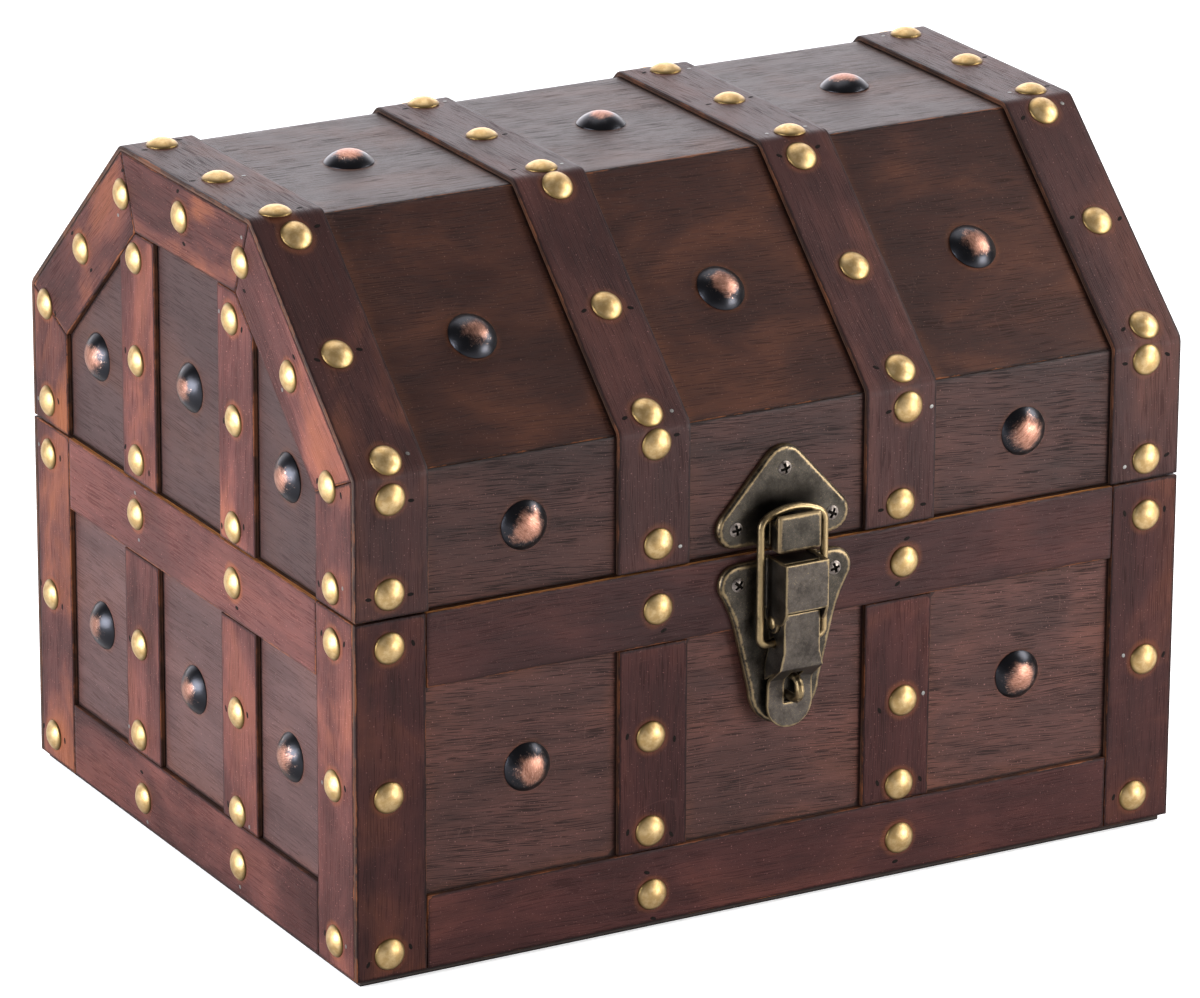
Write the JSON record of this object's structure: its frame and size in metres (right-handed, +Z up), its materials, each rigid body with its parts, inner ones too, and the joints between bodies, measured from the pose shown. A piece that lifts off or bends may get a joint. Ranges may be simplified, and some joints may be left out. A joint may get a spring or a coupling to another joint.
{
  "type": "sea chest",
  "caption": "Small wooden sea chest with a faceted lid, nailed wood straps, a brass toggle latch at the front and butt hinges at the back.",
  "frame": {"origin": "centre of the underside of the bottom board", "axes": "+X to the right seen from the front, +Y from the front to the back, +Z up"},
  "size_m": [0.3354, 0.2763, 0.2577],
  "materials": {
    "panel_wood": "dark mahogany stain with open pores, satin lacquer",
    "strip_wood": "red-brown mahogany stain, smooth satin lacquer, worn lighter on its edges",
    "bottom_wood": "dark grey-brown stain, matt",
    "brass_nail": "satin brass, slightly tarnished",
    "copper_nail": "brushed copper with a blackened rim, polished",
    "latch_bronze": "antique bronze, dark in the hollows and brassy on worn edges",
    "latch_brass": "worn antique brass",
    "latch_screw": "pewter grey, satin",
    "hinge_brass": "antique brass, satin"
  },
  "bodies": {
    "base": {"base_bottom_board": "bottom_wood", "base_front_board": "panel_wood", "base_back_board": "panel_wood", "base_left_board": "panel_wood", "base_right_board": "panel_wood", "front_left_stile": "strip_wood", "front_right_stile": "strip_wood", "front_top_rail": "strip_wood", "front_bottom_rail": "strip_wood", "front_left_strap": "strip_wood", "front_right_strap": "strip_wood", "back_left_stile": "strip_wood", "back_right_stile": "strip_wood", "back_top_rail": "strip_wood", "back_bottom_rail": "strip_wood", "back_left_strap": "strip_wood", "back_right_strap": "strip_wood", "left_front_stile": "strip_wood", "left_back_stile": "strip_wood", "left_top_rail": "strip_wood", "left_bottom_rail": "strip_wood", "left_front_strap": "strip_wood", "left_back_strap": "strip_wood", "right_front_stile": "strip_wood", "right_back_stile": "strip_wood", "right_top_rail": "strip_wood", "right_bottom_rail": "strip_wood", "right_front_strap": "strip_wood", "right_back_strap": "strip_wood", "latch_base_plate": "latch_bronze", "latch_bracket": "latch_bronze", "latch_pivot_pin": "latch_brass", "latch_staple": "latch_brass", "hinge_left_base_leaf": "hinge_brass", "hinge_right_base_leaf": "hinge_brass", "hinge_left_pin": "hinge_brass", "hinge_right_pin": "hinge_brass"},
    "lid": {"lid_front_board": "panel_wood", "lid_front_slope_board": "panel_wood", "lid_top_board": "panel_wood", "lid_back_slope_board": "panel_wood", "lid_back_board": "panel_wood", "lid_left_board": "panel_wood", "lid_right_board": "panel_wood", "lid_band_outer_left": "strip_wood", "lid_band_inner_left": "strip_wood", "lid_band_inner_right": "strip_wood", "lid_band_outer_right": "strip_wood", "lid_left_border": "strip_wood", "lid_right_border": "strip_wood", "lid_left_front_strap": "strip_wood", "lid_left_back_strap": "strip_wood", "lid_right_front_strap": "strip_wood", "lid_right_back_strap": "strip_wood", "latch_catch": "latch_bronze", "hinge_left_lid_leaf": "hinge_brass", "hinge_right_lid_leaf": "hinge_brass"},
    "lever": {"latch_lever": "latch_bronze"},
    "loop": {"latch_loop": "latch_brass"}
  },
  "joints": [
    {"name": "lid_hinge", "type": "hinge", "parent": "base", "child": "lid", "pos_m": [0, 0.1297, 0.13285], "axis": [-1, 0, 0], "range_deg": [0, 105]},
    {"name": "latch_lever_pivot", "type": "hinge", "parent": "base", "child": "lever", "pos_m": [0.002, -0.1343, 0.1086], "axis": [-1, 0, 0], "range_deg": [0, 85]},
    {"name": "latch_loop_pivot", "type": "hinge", "parent": "lever", "child": "loop", "pos_m": [0.002, -0.1333, 0.1007], "axis": [-1, 0, 0], "range_deg": [-170, 0]}
  ],
  "couplings": [
    {"joint": "latch_loop_pivot", "follows": "latch_lever_pivot", "ratio": -2}
  ]
}
